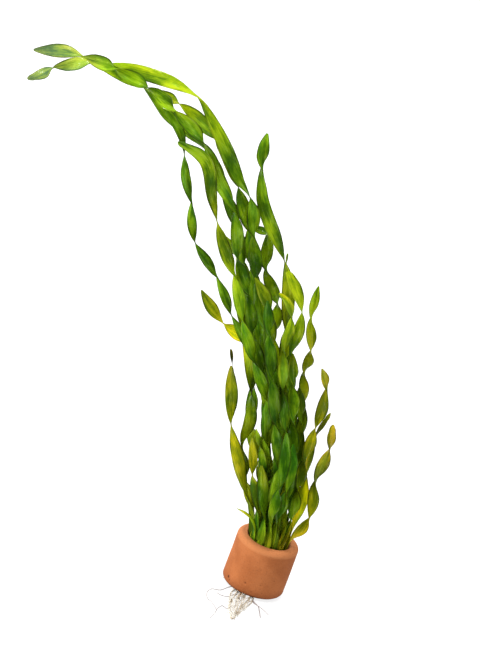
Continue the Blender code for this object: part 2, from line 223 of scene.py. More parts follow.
pot_low, pot_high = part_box("clay_pot")
POT_RADIUS = (pot_high.x - pot_low.x) * 0.5
POT_FOOT = pot_low.z
POT_TOP = pot_high.z
POT_WALL = 7.7 * MM
POT_FLOOR = 6.0 * MM
POT_HOLE = 6.5 * MM
LIP_ROUND = 4.0 * MM
FOOT_ROUND = 3.5 * MM
MOUTH_ROUND = 1.5 * MM
HOLE_ROUND = 0.4 * MM
WELL_ROUND = 3.0 * MM
WELL_CUT = 0.9 * MM
POT_STEPS = 180
# Pits: turn about the pot's axis from the front in degrees, then height, radius and depth in
# millimetres.
PITS = [(-13, 12.2, 1.0, 0.5), (15, 14.6, 0.8, 0.3), (-9, 4.2, 0.7, 0.4), (-27, 22.5, 0.5, 0.3),
        (38, 20.0, 0.7, 0.3), (-52, 8.2, 1.5, 0.7), (-47, 6.6, 0.9, 0.5), (6, 27.0, 0.5, 0.25),
        (-4, 9.5, 0.6, 0.4), (3, 6.8, 0.6, 0.4), (22, 8.0, 0.6, 0.35), (-20, 16.0, 0.5, 0.3),
        (30, 29.0, 0.5, 0.25), (-36, 30.5, 0.5, 0.25), (12, 20.5, 0.5, 0.25), (48, 10.0, 0.6, 0.3),
        (95, 17.0, 0.9, 0.4), (150, 25.0, 0.7, 0.3), (-120, 12.0, 1.1, 0.4), (-165, 30.0, 0.6, 0.3)]


def corner(centre, radius, start, end, steps):
    """A rounded corner of a profile, from one angle to another in degrees."""
    turns = [math.radians(start + (end - start) * i / steps) for i in range(steps + 1)]
    return [(centre[0] + radius * math.cos(a), centre[1] + radius * math.sin(a)) for a in turns]


def straight(start, end, steps):
    """Points between two ends of a straight stretch, without the ends."""
    return [(start[0] + (end[0] - start[0]) * i / steps, start[1] + (end[1] - start[1]) * i / steps)
            for i in range(1, steps)]


def pot_profile():
    """Half of the pot's section, all the way round its wall."""
    inner = POT_RADIUS - POT_WALL
    floor = POT_FOOT + POT_FLOOR
    lip = corner((POT_RADIUS - LIP_ROUND, POT_TOP - LIP_ROUND), LIP_ROUND, 90, 0, 12)
    foot = corner((POT_RADIUS - FOOT_ROUND, POT_FOOT + FOOT_ROUND), FOOT_ROUND, 0, -90, 12)
    mouth = corner((inner + MOUTH_ROUND, POT_TOP - MOUTH_ROUND), MOUTH_ROUND, 180, 90, 6)
    side = straight(lip[-1], foot[0], 32)
    under = straight(foot[-1], (POT_HOLE + HOLE_ROUND, POT_FOOT), 6)
    hole = [(POT_HOLE + HOLE_ROUND, POT_FOOT), (POT_HOLE, POT_FOOT + HOLE_ROUND), (POT_HOLE, floor)]
    well = [(inner - WELL_ROUND, floor), (inner - WELL_CUT, floor + WELL_CUT), (inner, floor + WELL_ROUND)]
    wall = straight(well[-1], mouth[0], 14)
    crest = straight(mouth[-1], lip[0], 3)
    return lip + side + foot + under + hole + well + wall + mouth + crest


def turned(profile, steps, closed):
    """Turns a profile of radii and heights about the upright axis."""
    shell = bmesh.new()
    rings = []
    for i in range(steps):
        a = 2.0 * math.pi * i / steps
        rings.append([shell.verts.new((r * math.cos(a), r * math.sin(a), z)) for r, z in profile])
    for here, there in zip(rings, rings[1:] + rings[:1]):
        for j in range(len(profile) if closed else len(profile) - 1):
            k = (j + 1) % len(profile)
            shell.faces.new((here[j], here[k], there[k], there[j]))
    return shell


def pit_place(turn_deg, height):
    """The middle of a pit in the pot's side."""
    a = math.radians(turn_deg - 90.0)
    return Vector((POT_RADIUS * math.cos(a), POT_RADIUS * math.sin(a), height * MM))


def weather_clay(shell):
    """Slow unevenness all over, then the pits."""
    shell.normal_update()
    moves = {}
    for corner_point in shell.verts:
        place = corner_point.co
        lift = noise.noise(place * 55.0) * 0.22 * MM + noise.noise(place * 260.0) * 0.05 * MM
        if math.hypot(place.x, place.y) > POT_RADIUS - POT_WALL * 0.5:
            for turn_deg, height, radius, depth in PITS:
                near = (place - pit_place(turn_deg, height)).length / (radius * MM)
                lift -= depth * MM * math.exp(-near * near)
        moves[corner_point] = corner_point.normal * lift
    for corner_point, move in moves.items():
        corner_point.co += move
    lowest = min(corner_point.co.z for corner_point in shell.verts)
    bmesh.ops.translate(shell, verts=shell.verts, vec=(0.0, 0.0, max(0.0, POT_FOOT - lowest)))


def fired_clay():
    recipe, shader, clay = finish_named("fired_clay")
    where = recipe.node("ShaderNodeTexCoord", output=3)
    height = recipe.node("ShaderNodeSeparateXYZ", None, {0: where}, output=2)
    cloud = recipe.grain(where, 48.0, 3.0, 0.55)
    speck = recipe.grain(where, 900.0, 2.0, 0.6)
    grit = recipe.grain(where, 2600.0, 1.0, 0.5)
    body = recipe.mix(cloud.ramp(0.35, 0.68), (0.285, 0.086, 0.026, 1.0), (0.355, 0.116, 0.038, 1.0))
    # Painted highlight: a lighter band of clay colour round the top of the lip, where the overhead lamp falls
    # on it.
    lip = height.ramp(POT_TOP - 4.8 * MM, POT_TOP - 3.4 * MM) * 0.60
    body = recipe.mix(lip, body, (0.420, 0.160, 0.060, 1.0))
    # Painted shade at the foot: the lowest centimetre is darkened in blotches.
    foot_shade = height.ramp(POT_FOOT + 1.0 * MM, POT_FOOT + 10.0 * MM, 1.0, 0.0) * cloud.ramp(0.2, 0.5)
    body = recipe.mix(foot_shade * 0.75, body, (0.200, 0.058, 0.018, 1.0))
    # Painted shadow line: the bottom few millimetres of the foot are painted nearly black.
    edge = height.ramp(POT_FOOT + 0.4 * MM, POT_FOOT + 2.6 * MM, 1.0, 0.0)
    body = recipe.mix(edge * 0.9, body, (0.060, 0.022, 0.012, 1.0))
    body = recipe.mix(speck.ramp(0.58, 0.72) * 0.45, body, (0.160, 0.052, 0.020, 1.0))
    body = recipe.mix(grit.ramp(0.62, 0.72) * 0.30, body, (0.460, 0.230, 0.120, 1.0))
    for turn_deg, pit_height, radius, depth in PITS:
        pit = pit_place(turn_deg, pit_height)
        away = recipe.node("ShaderNodeVectorMath", {"operation": "DISTANCE"}, {0: where, 1: pit}, 1)
        shade = away.ramp(0.3 * radius * MM, 1.15 * radius * MM, 1.0, 0.0) * min(1.0, depth * 1.4)
        body = recipe.mix(shade, body, (0.080, 0.022, 0.009, 1.0))
    feed(shader, "Base Color", body)
    feed(shader, "Roughness", cloud.ramp(0.2, 0.8, 0.80, 0.94))
    rings = (height * 2400.0 + cloud * 5.0).wave() * 0.10
    relief = rings + speck * 0.8 + grit * 0.5
    feed(shader, "Normal", recipe.bump(relief, 0.16 * MM, 0.8))
    shader.inputs["Specular IOR Level"].default_value = 0.10
    return clay


pot_shell = turned(pot_profile(), POT_STEPS, True)
bmesh.ops.recalc_face_normals(pot_shell, faces=pot_shell.faces)
weather_clay(pot_shell)
pot_mesh = bpy.data.meshes.new("pot")
pot_shell.to_mesh(pot_mesh)
pot_shell.free()
solid_piece("pot", pot_mesh, fired_clay(), "clay_pot")


# Root ball
# The pot is packed with brown roots and wool, which hold the crown of the plant. They are one plug
# turned to the inside of the pot, with a neck down into its hole and a top as rough as felt.
ball_low, ball_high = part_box("root_ball")
BALL_RADIUS = (ball_high.x - ball_low.x) * 0.5
BALL_NECK = 6.2 * MM
BALL_STEPS = 72
FELT_DEEP = 2.0 * MM
FELT_ROUGH = 0.5 * MM


def packed_roots():
    recipe, shader, brown = finish_named("packed_roots")
    where = recipe.node("ShaderNodeTexCoord", output=3)
    strand = recipe.grain(where, 700.0, 4.0, 0.7)
    clump = recipe.grain(where, 160.0, 3.0, 0.6)
    colour = recipe.mix(strand.ramp(0.35, 0.7), (0.022, 0.014, 0.008, 1.0), (0.150, 0.095, 0.045, 1.0))
    colour = recipe.mix(clump.ramp(0.55, 0.8) * 0.5, colour, (0.300, 0.230, 0.130, 1.0))
    feed(shader, "Base Color", colour)
    feed(shader, "Normal", recipe.bump(strand + clump, 0.8 * MM))
    shader.inputs["Roughness"].default_value = 0.85
    return brown


def ball_shell():
    """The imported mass, drawn as a turned profile and roughened like felted root."""
    low, top = ball_low.z, ball_high.z
    shoulder = low + 3.0 * MM
    rim = BALL_RADIUS - 1.0 * MM
    side = BALL_RADIUS - 0.4 * MM
    profile = [(0.0, top - 0.8 * MM)]
    profile += straight(profile[-1], (rim, top - 0.5 * MM), 16)
    profile += [(rim, top - 0.5 * MM), (side, top - 1.6 * MM)]
    profile += straight(profile[-1], (side, shoulder + 4.0 * MM), 8)
    profile += [(BALL_RADIUS - 3.2 * MM, shoulder + 0.5 * MM), (BALL_NECK, shoulder + 0.5 * MM)]
    profile += [(BALL_NECK - 0.3 * MM, low + 0.2 * MM), (0.0, low + 0.2 * MM)]
    shell = turned(profile, BALL_STEPS, False)
    bmesh.ops.remove_doubles(shell, verts=shell.verts, dist=0.001 * MM)
    bmesh.ops.recalc_face_normals(shell, faces=shell.faces)
    for spot in shell.verts:
        if spot.co.z > top - FELT_DEEP:
            rough = noise.noise(spot.co * 700.0) + 0.5 * noise.noise(spot.co * 1500.0)
            spot.co.z += rough * FELT_ROUGH
    return shell


ball = ball_shell()
ball_mesh = bpy.data.meshes.new("packed_root_ball")
ball.to_mesh(ball_mesh)
ball.free()
solid_piece("packed_root_ball", ball_mesh, packed_roots(), "root_ball")


# Trailing roots
# White and tan roots have grown through the hole in the pot. The bulk of them hangs together in a
# wet tangle, and a few single threads wander off across the table.
ROOT_BUNDLES = [
    # name, strands, thickness at the pot and at the tip, how far they stray, route on the table:
    # all lengths in millimetres
    ("root_tangle_a", 6, (0.60, 0.30), 2.2, [(-3, 2), (-9, -14), (-13, -26), (-13, -38), (-10, -54)]),
    ("root_tangle_b", 7, (0.65, 0.30), 2.6, [(-3, 2), (-8, -16), (-10, -30), (-11, -46), (-8, -64)]),
    ("root_tangle_c", 6, (0.65, 0.30), 2.4, [(-2, 2), (-5, -16), (-7, -30), (-6, -46), (-6, -70)]),
    ("root_tangle_d", 6, (0.65, 0.30), 2.4, [(0, 2), (-2, -16), (-3, -30), (-4, -48), (-4, -70)]),
    ("root_tangle_e", 7, (0.65, 0.30), 2.6, [(1, 0), (2, -16), (1, -30), (-1, -46), (-3, -62)]),
    ("root_tangle_f", 6, (0.60, 0.30), 2.2, [(2, 0), (4, -16), (4, -27), (2, -38), (0, -48)]),
    ("root_tangle_short", 9, (0.70, 0.35), 2.6, [(-2, 0), (-5, -18), (-5, -28), (-8, -36)]),
    ("root_loop", 4, (0.50, 0.40), 0.8,
     [(-9, -20), (-11, -40), (-10.4, -56), (-7.5, -67), (-5.2, -70), (-3.4, -64), (-2.8, -52),
      (-1, -38), (2, -24)]),
    ("root_old", 6, (1.30, 0.80), 1.0, [(-3, -2), (-5, -18), (-6.5, -27), (-6, -34)]),
    ("root_thread_far_left", 1, (0.60, 0.42), 0.0,
     [(-4, -2), (-15.8, -16), (-22, -27), (-28.8, -30.7), (-31, -40), (-29, -49), (-24.7, -53.4),
      (-19, -63.4)]),
    ("root_thread_lower_left", 1, (0.60, 0.45), 0.0,
     [(-9, -46), (-12, -55), (-16.3, -52.5), (-19, -60), (-20, -70), (-22, -82)]),
    ("root_thread_left", 1, (0.65, 0.45), 0.0, [(-5, -12), (-13.3, -31.6), (-19.2, -35.4), (-24, -33.7)]),
    ("root_thread_right", 1, (0.65, 0.42), 0.0, [(2, -6), (4.8, -26.5), (13, -32), (20.3, -39.8)]),
    ("root_thread_near_right", 2, (0.62, 0.42), 0.6, [(3, -10), (5, -26), (10.5, -33.4), (15, -50.4)]),
    ("root_under_right", 7, (0.9, 0.4), 1.6, [(2, 0), (11, 9), (17, 15)]),
    ("root_under_left", 7, (0.9, 0.4), 1.6, [(-2, 0), (-11, 9), (-17, 14)]),
    ("root_under_east", 7, (0.9, 0.4), 1.6, [(2, 0), (14, -3), (21, -7)]),
    ("root_under_west", 7, (0.9, 0.4), 1.6, [(-2, 0), (-14, -2), (-22, -6)]),
]
# A bundle's line starts up in the pot's hole and runs just above the table, and its strands stray
# by LEAST_STRAY millimetres or more. A single root's line runs at LYING times its thickness.
ROOT_STEP = 1.0 * MM
STRAND_STEP = 1.1 * MM
HOLE_LINE = 3.0 * MM
BUNDLE_LINE = 1.2 * MM
LEAST_STRAY = 0.25
LYING = 0.55


def wet_root(name, pale, stained):
    recipe, shader, finish = finish_named(name)
    where = recipe.node("ShaderNodeTexCoord", output=3)
    blotch = recipe.grain(where, 120.0, 2.0, 0.6)
    fleck = recipe.grain(where, 900.0, 2.0, 0.6)
    colour = recipe.mix(blotch.ramp(0.42, 0.72), pale, stained)
    colour = recipe.mix(fleck.ramp(0.62, 0.74) * 0.7, colour, (0.060, 0.045, 0.030, 1.0))
    feed(shader, "Base Color", colour)
    feed(shader, "Normal", recipe.bump(fleck, 0.15 * MM))
    shader.inputs["Roughness"].default_value = 0.4
    shader.inputs["Specular IOR Level"].default_value = 0.3
    return finish


def tree_socket(tree, name, kind, value=None):
    made = tree.interface.new_socket(name, in_out="INPUT", socket_type=kind)
    if value is not None:
        made.default_value = value


def tangle_tree():
    """Copies a route into many strands that stray from it, and gives each a tapering thickness."""
    tree = bpy.data.node_groups.new("root_tangle", "GeometryNodeTree")
    tree_socket(tree, "Route", "NodeSocketGeometry")
    tree_socket(tree, "Strands", "NodeSocketInt", 10)
    tree_socket(tree, "Stray", "NodeSocketFloat", 0.003)
    tree_socket(tree, "Thick", "NodeSocketFloat", 0.0009)
    tree_socket(tree, "Thin", "NodeSocketFloat", 0.0004)
    tree_socket(tree, "Seed", "NodeSocketFloat", 0.0)
    tree_socket(tree, "Finish", "NodeSocketMaterial")
    tree.interface.new_socket("Strands", in_out="OUTPUT", socket_type="NodeSocketGeometry")
    recipe = Recipe(tree)
    given = tree.nodes.new("NodeGroupInput")
    route, strands, stray, thick, thin, seed, finish = [Wire(recipe, s) for s in given.outputs[:7]]
    line = recipe.node("GeometryNodeMeshToCurve", None, {"Mesh": route})
    line = recipe.node("GeometryNodeResampleCurve", {"mode": "LENGTH"},
                       {"Curve": line, "Length": STRAND_STEP})
    copier = recipe.node("GeometryNodeDuplicateElements", {"domain": "SPLINE"},
                         {"Geometry": line, "Amount": strands})
    number = Wire(recipe, copier.socket.node.outputs["Duplicate Index"])
    line = recipe.node("GeometryNodeStoreNamedAttribute", {"data_type": "FLOAT", "domain": "CURVE"},
                       {"Geometry": copier, "Name": "strand", "Value": number})
    strand = recipe.node("GeometryNodeInputNamedAttribute", {"data_type": "FLOAT"}, {"Name": "strand"})
    factor = recipe.node("GeometryNodeSplineParameter")
    place = recipe.node("GeometryNodeInputPosition")
    lane = recipe.node("ShaderNodeCombineXYZ", None,
                       {0: strand * 7.31 + seed, 1: factor * 2.2, 2: strand * 3.17})
    sockets = {"Vector": lane, "Scale": 1.0, "Detail": 1.0}
    lane_noise = recipe.node("ShaderNodeTexNoise", None, sockets, 1)
    shift = recipe.node("ShaderNodeCombineXYZ", None, {0: strand * 0.31, 1: seed, 2: 0.0})
    curl = recipe.node("ShaderNodeVectorMath", {"operation": "ADD"}, {0: place, 1: shift})
    sockets = {"Vector": curl, "Scale": 170.0, "Detail": 1.0}
    curl_noise = recipe.node("ShaderNodeTexNoise", None, sockets, 1)
    centred = recipe.node("ShaderNodeVectorMath", {"operation": "SUBTRACT"},
                          {0: lane_noise, 1: (0.5, 0.5, 0.5)})
    wiggle = recipe.node("ShaderNodeVectorMath", {"operation": "SUBTRACT"},
                         {0: curl_noise, 1: (0.5, 0.5, 0.5)})
    spread = stray * (0.35 + factor * 1.1) * 3.4
    away = recipe.node("ShaderNodeVectorMath", {"operation": "SCALE"}, {0: centred, "Scale": spread})
    small = recipe.node("ShaderNodeVectorMath", {"operation": "SCALE"}, {0: wiggle, "Scale": stray * 1.1})
    offset = recipe.node("ShaderNodeVectorMath", {"operation": "ADD"}, {0: away, 1: small})
    line = recipe.node("GeometryNodeSetPosition", None, {"Geometry": line, "Offset": offset})
    moved = recipe.node("GeometryNodeInputPosition")
    parts = recipe.node("ShaderNodeSeparateXYZ", None, {0: moved}).socket.node
    x, y, z = [Wire(recipe, output) for output in parts.outputs]
    height = z.maths("MAXIMUM", z, thick * 0.5)
    seated = recipe.node("ShaderNodeCombineXYZ", None, {0: x, 1: y, 2: height})
    line = recipe.node("GeometryNodeSetPosition", None, {"Geometry": line, "Position": seated})
    radius = (thick + (thin - thick) * factor) * 0.5
    line = recipe.node("GeometryNodeSetCurveRadius", None, {"Curve": line, "Radius": radius})
    ring = recipe.node("GeometryNodeCurvePrimitiveCircle", None, {"Resolution": 6, "Radius": 1.0})
    sockets = {"Curve": line, "Profile Curve": ring, "Scale": radius, "Fill Caps": True}
    tube = recipe.node("GeometryNodeCurveToMesh", None, sockets)
    tube = recipe.node("GeometryNodeRealizeInstances", None, {"Geometry": tube})
    tube = recipe.node("GeometryNodeSetMaterial", None, {"Geometry": tube, "Material": finish})
    out = tree.nodes.new("NodeGroupOutput")
    tree.links.new(tube.socket, out.inputs[0])
    return tree


def with_ends(points):
    """The points with one more at each end, as far on as the last step."""
    return [points[0] * 2 - points[1]] + points + [points[-1] * 2 - points[-2]]


def between(before, start, end, after, t):
    """The point at share t from start to end, on a smooth curve through all four."""
    near = start * 2 + (end - before) * t + (before * 2 - start * 5 + end * 4 - after) * t**2
    return (near + (start * 3 - before - end * 3 + after) * t**3) * 0.5


def through(points, spacing):
    """Evenly spaced points on a smooth curve through the given ones."""
    knots = with_ends(points)
    path = []
    for before, start, end, after in zip(knots, knots[1:], knots[2:], knots[3:]):
        steps = max(2, math.ceil((end - start).length / spacing))
        path += [between(before, start, end, after, i / steps) for i in range(steps)]
    path.append(points[-1])
    return path


def polyline(name, points):
    mesh = bpy.data.meshes.new(name)
    mesh.from_pydata(points, [(i, i + 1) for i in range(len(points) - 1)], [])
    made = bpy.data.objects.new(name, mesh)
    bpy.context.scene.collection.objects.link(made)
    return made


def set_input(modifier, name, value):
    tree = modifier.node_group
    item = next(i for i in tree.interface.items_tree if i.name == name and i.in_out == "INPUT")
    modifier[item.identifier] = value


def made_plain(made):
    """The evaluated mesh of an object with a Geometry Nodes modifier. The object is removed."""
    depsgraph = bpy.context.evaluated_depsgraph_get()
    mesh = bpy.data.meshes.new_from_object(made.evaluated_get(depsgraph))
    bpy.data.objects.remove(made)
    return mesh


tangle = tangle_tree()
white_root = wet_root("white_root", (0.570, 0.530, 0.450, 1.0), (0.340, 0.260, 0.165, 1.0))
old_root = wet_root("old_root", (0.330, 0.200, 0.100, 1.0), (0.160, 0.090, 0.045, 1.0))
fine_root = wet_root("fine_root", (0.260, 0.220, 0.215, 1.0), (0.150, 0.125, 0.120, 1.0))
for number, (name, strands, thickness, stray, route) in enumerate(ROOT_BUNDLES):
    ends = [Vector((x, y, thickness[0] * LYING)) * MM for x, y in route]
    if stray > 0.0:
        ends[0].z = HOLE_LINE
        ends = [ends[0]] + [Vector((p.x, p.y, BUNDLE_LINE)) for p in ends[1:]]
    strand_line = polyline(name, through(ends, ROOT_STEP))
    grow = strand_line.modifiers.new("Tangle", "NODES")
    grow.node_group = tangle
    set_input(grow, "Strands", strands)
    set_input(grow, "Stray", max(stray, LEAST_STRAY) * MM)
    set_input(grow, "Thick", thickness[0] * MM)
    set_input(grow, "Thin", thickness[1] * MM)
    set_input(grow, "Seed", 3.7 * number)
    root_finish = fine_root if "thread" in name else old_root if "old" in name else white_root
    set_input(grow, "Finish", root_finish)
    root_mesh = made_plain(strand_line)
    root_mesh.name = name
    root_mesh.polygons.foreach_set("use_smooth", [True] * len(root_mesh.polygons))
    root_piece = bpy.data.objects.new(name, root_mesh)
    bpy.context.scene.collection.objects.link(root_piece)
    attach(root_piece, "root")
    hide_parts("roots")


# Leaves
# Long soft ribbons, one cell layer thick at the margin and thicker along the middle rib, that wind
# round and round as they grow. Old stretches are olive, shaded ones deep green, and thin young
# ones let the light through and glow yellow-green.
PAINTS = {
    "deep": (0.036, 0.090, 0.003),
    "forest": (0.050, 0.140, 0.003),
    "green": (0.082, 0.190, 0.004),
    "leaf": (0.128, 0.275, 0.005),
    "lime": (0.250, 0.380, 0.008),
    "yellow": (0.560, 0.600, 0.008),
    "bright": (0.740, 0.720, 0.012),
    "gold": (0.290, 0.300, 0.005),
    "olive": (0.135, 0.190, 0.004),
    "bronze": (0.180, 0.165, 0.005),
    "brown": (0.080, 0.065, 0.004),
    "emerald": (0.060, 0.360, 0.012),
    "sage": (0.230, 0.310, 0.080),
}
# The broad stretches of each leaf's colour, from the pot (0) to the tip (100).
LEAF_PAINTS = {
    "leaf_01": "0 olive 30 green 60 forest 100 forest",
    "leaf_02": "0 olive 30 green 70 green 88 leaf 100 sage",
    "leaf_03": "0 olive 30 forest 75 green 88 lime 100 leaf",
    "leaf_04": "0 olive 30 forest 75 green 90 lime 100 lime",
    "leaf_05": "0 lime 30 green 60 leaf 75 olive 100 green",
    "leaf_06": "0 leaf 30 green 60 leaf 85 forest 100 green",
    "leaf_07": "0 leaf 30 green 60 olive 80 green 100 green",
    "leaf_08": "0 leaf 30 forest 70 green 85 lime 100 lime",
    "leaf_09": "0 leaf 30 green 60 olive 80 olive 100 leaf",
    "leaf_10": "0 lime 30 green 60 gold 100 bronze",
    "leaf_11": "0 yellow 60 bright 80 gold 100 olive",
    "leaf_12": "0 gold 25 gold 50 gold 80 bronze 100 bronze",
    "leaf_13": "0 olive 30 olive 60 green 80 yellow 90 olive 100 olive",
    "leaf_14": "0 olive 30 olive 55 gold 75 olive 100 brown",
    "leaf_15": "0 lime 30 green 70 forest 100 lime",
    "leaf_16": "0 leaf 30 green 60 olive 80 gold 100 olive",
    "leaf_17": "0 leaf 30 green 70 green 100 lime",
    "leaf_18": "0 olive 30 olive 60 green 90 lime 100 yellow",
    "leaf_19": "0 leaf 30 forest 70 green 100 olive",
    "leaf_20": "0 olive 30 olive 60 green 80 forest 100 leaf",
    "leaf_21": "0 leaf 25 green 60 deep 100 forest",
    "leaf_22": "0 leaf 30 forest 60 olive 100 forest",
    "leaf_23": "0 gold 25 green 60 forest 80 leaf 100 olive",
    "leaf_24": "0 leaf 30 forest 65 green 100 olive",
    "leaf_25": "0 green 70 leaf 90 bright 100 lime",
    "leaf_26": "0 gold 60 bronze 100 bright",
    "leaf_27": "0 olive 60 gold 100 lime",
    "leaf_28": "0 leaf 50 forest 100 green",
    "leaf_29": "0 olive 50 forest 100 olive",
    "leaf_30": "0 olive 40 green 70 forest 100 olive",
    "leaf_31": "0 olive 40 green 70 forest 100 forest",
    "leaf_32": "0 leaf 50 forest 100 olive",
    "leaf_33": "0 leaf 50 olive 100 green",
    "leaf_34": "0 olive 40 forest 75 green 100 emerald",
    "leaf_35": "0 olive 30 green 70 green 88 leaf 100 sage",
    "leaf_36": "0 lime 30 olive 70 gold 90 bronze 100 gold",
}
# Half-widths of the rounded ends, in millimetres; the other leaves run out to a point.
ROUND_TIPS = {"leaf_05": 3.4, "leaf_11": 3.0, "leaf_12": 3.0, "leaf_18": 2.6, "leaf_35": 2.9, "leaf_36": 1.8}
POINTED_TIP = 0.3
TIP_LENGTH = 9.0 * MM
# Half-widths in millimetres that the last stretch of a leaf keeps under, where it ends in a thin
# tail; the other leaves are let be.
THIN_TAILS = {"leaf_08": 0.9, "leaf_14": 1.3, "leaf_25": 1.1}
WIDE_TAIL = 9.0
TAIL_LENGTH = 16.0 * MM
# What each half-width gains, less of it where the blade is narrower than NARROW.
FULLNESS = 0.5 * MM
NARROW = 2.0 * MM
# Below 1, a stretch between two waists is fuller and more like a strap than like a lens.
LOBE_FILL = 0.7
# Above 1, a blade lies flat for longer and turns more quickly at its waists. The leaves that hang
# apart from the bunch turn more evenly than those that lie in it.
BUNCH_FLATNESS = 1.5
LONE_FLATNESS = 1.15
LONE_LEAVES = ("leaf_01", "leaf_08", "leaf_09", "leaf_10", "leaf_11", "leaf_12", "leaf_13", "leaf_14",
               "leaf_25", "leaf_26", "leaf_27", "leaf_36")
BLADE_STEP = 1.3 * MM
BLADE_THICK = 0.36 * MM
RIB_THICK = 0.22 * MM
# A blade gets painted shade at a fold: it starts to darken where it turns FOLD_FROM radians in a
# millimetre, and is darkest where it turns FOLD_SPAN more than that.
FOLD_FROM = 0.10
FOLD_SPAN = 0.10
# How much light passes through a dark leaf, and how much more through one as pale as SHEER_GREEN.
SHEER_LEAST = 0.12
SHEER_GAIN = 0.42
SHEER_GREEN = 0.50


def stations_of(node):
    """Middle and half-width of each station of a packed leaf, from the pot to the tip."""
    shell = bmesh.new()
    shell.from_mesh(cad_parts[node].data)
    bmesh.ops.remove_doubles(shell, verts=shell.verts, dist=0.001 * MM)
    ring = sorted(shell.verts, key=lambda v: v.co.z)[:4]
    seen = set(ring)

    def onward(point):
        return [e.other_vert(point) for e in point.link_edges if e.other_vert(point) not in seen]

    left_low = max(ring, key=lambda v: len(onward(v)))
    right_high = min(ring, key=lambda v: len(onward(v)))
    others = [v for v in ring if v not in (left_low, right_high)]
    others.sort(key=lambda v: (v.co - left_low.co).length)
    left_high, right_low = others
    stations = []
    while True:
        ring = (left_low, right_low, right_high, left_high)
        middle = sum((v.co for v in ring), Vector()) * 0.25
        stations.append((middle, (right_low.co + right_high.co - left_low.co - left_high.co) * 0.25))
        if not onward(right_high):
            break
        next_high = onward(right_high)[0]
        next_right = next(v for v in onward(right_low) if v is not next_high)
        next_left = next(v for v in onward(left_high) if v is not next_high)
        next_low = next(v for v in onward(left_low) if v not in (next_high, next_right, next_left))
        left_low, right_low, right_high, left_high = next_low, next_right, next_high, next_left
        seen |= {left_low, right_low, right_high, left_high}
    shell.free()
    return stations


def ease(values, rounds):
    """Evens out a row of values, all but its ends."""
    for _ in range(rounds):
        values[1:-1] = (values[:-2] + values[1:-1] * 2 + values[2:]) * 0.25


def steps_along(path):
    """The distance from each point of a line to the next."""
    return [(b - a).length for a, b in zip(path, path[1:])]


def smooth_leaf(stations, flatness):
    """Closely spaced middles, unit directions across the blade and half-widths."""
    middles = [s[0] for s in stations]
    halves = [s[1] for s in stations]
    knots = with_ends(middles)
    path, across, wide = [], [], []
    for i in range(len(middles) - 1):
        before, start, end, after = knots[i:i + 4]
        steps = max(2, round((end - start).length / BLADE_STEP))
        for j in range(steps + (1 if i == len(middles) - 2 else 0)):
            t = j / steps
            path.append(between(before, start, end, after, t))
            across.append(halves[i].normalized().slerp(halves[i + 1].normalized(), t))
            wide.append(halves[i].length * (1 - t) + halves[i + 1].length * t)
    across = np.array(across)
    wide = np.array(wide)
    ease(across, 3)
    ease(wide, 3)
    across *= (flatness, 1.0, flatness)
    across /= np.linalg.norm(across, axis=1)[:, None]
    return path, across, wide


def ended(path, wide, oval_half, tail_half):
    """Half-widths of a leaf whose end is drawn as an oval or kept to a thin tail."""
    steps = np.array(steps_along(path) + [0.0])
    to_tip = np.cumsum(steps[::-1])[::-1]
    oval = np.sqrt(np.clip(1.0 - (1.0 - 2.0 * to_tip / TIP_LENGTH) ** 2, 0.0, 1.0))
    wide = np.maximum(wide, oval_half * oval)
    return np.where(to_tip < TAIL_LENGTH, np.minimum(wide, tail_half), wide)


# The feet of the leaves. Below FOOT_TOP a blade is as broad as in its first full stretch, and a
# little less so further down. Its edges keep inside the pot's mouth up to FOOT_FREE, and they leave
# a gap at the mouth's left, which closes as they rise.
MOUTH_REACH = 16.6 * MM
MOUTH_GAP = -12.6 * MM
GAP_CLOSING = 0.35
FOOT_TOP = 64.0 * MM
FOOT_FREE = 49.0 * MM
FOOT_LOW = 40.0 * MM
FOOT_RISE = 24.0 * MM
FOOT_SHARE = 0.80
FULL_FROM = 62.0 * MM
FULL_POINTS = 12
SHORT_LEAF = 75.0 * MM
# The height up to which a foot is narrowed until it clears the pot's wall, the half-width at which
# that stops, and the step by which widths are tried.
CLEAR_TO = POT_TOP + 1.0 * MM
LEAST_FOOT = 0.3 * MM
WIDTH_STEP = 0.1 * MM


def edges_of(middle, across, half):
    """The two edge points of a blade."""
    return [middle + Vector(across) * half * way for way in (-1.0, 1.0)]


def in_the_mouth(edges):
    """Whether both edges are inside the pot's mouth."""
    return max(math.hypot(edge.x, edge.y) for edge in edges) < MOUTH_REACH


def fill_the_mouth(path, across, wide):
    """Broadens a leaf's foot as far as the pot's mouth lets it, and narrows it clear of the pot."""
    full = wide.max()
    if path[-1].z > SHORT_LEAF:
        full = wide[np.array([p.z for p in path]) > FULL_FROM][:FULL_POINTS].mean()
    for i, middle in enumerate(path):
        if middle.z > FOOT_TOP:
            break
        rise = min(1.0, max(0.0, (middle.z - FOOT_LOW) / FOOT_RISE))
        room = full * (FOOT_SHARE + (1.0 - FOOT_SHARE) * rise)
        while room > wide[i]:
            edges = edges_of(middle, across[i], room)
            left = min(edge.x for edge in edges) + max(0.0, middle.z - POT_TOP) * GAP_CLOSING
            if left > MOUTH_GAP and (middle.z > FOOT_FREE or in_the_mouth(edges)):
                wide[i] = room
                break
            room -= WIDTH_STEP
    for i, middle in enumerate(path):
        while middle.z < CLEAR_TO and wide[i] > LEAST_FOOT:
            if in_the_mouth(edges_of(middle, across[i], wide[i])):
                break
            wide[i] -= WIDTH_STEP
    return wide


def twist_of(path, across):
    """How sharply the blade is twisting at each point, from 0 to 1."""
    bend = np.arccos(np.clip((across[1:] * across[:-1]).sum(axis=1), -1.0, 1.0))
    rate = np.append(bend / np.array(steps_along(path)), 0.0) * MM
    ease(rate, 2)
    return np.clip((rate - FOLD_FROM) / FOLD_SPAN, 0.0, 1.0)


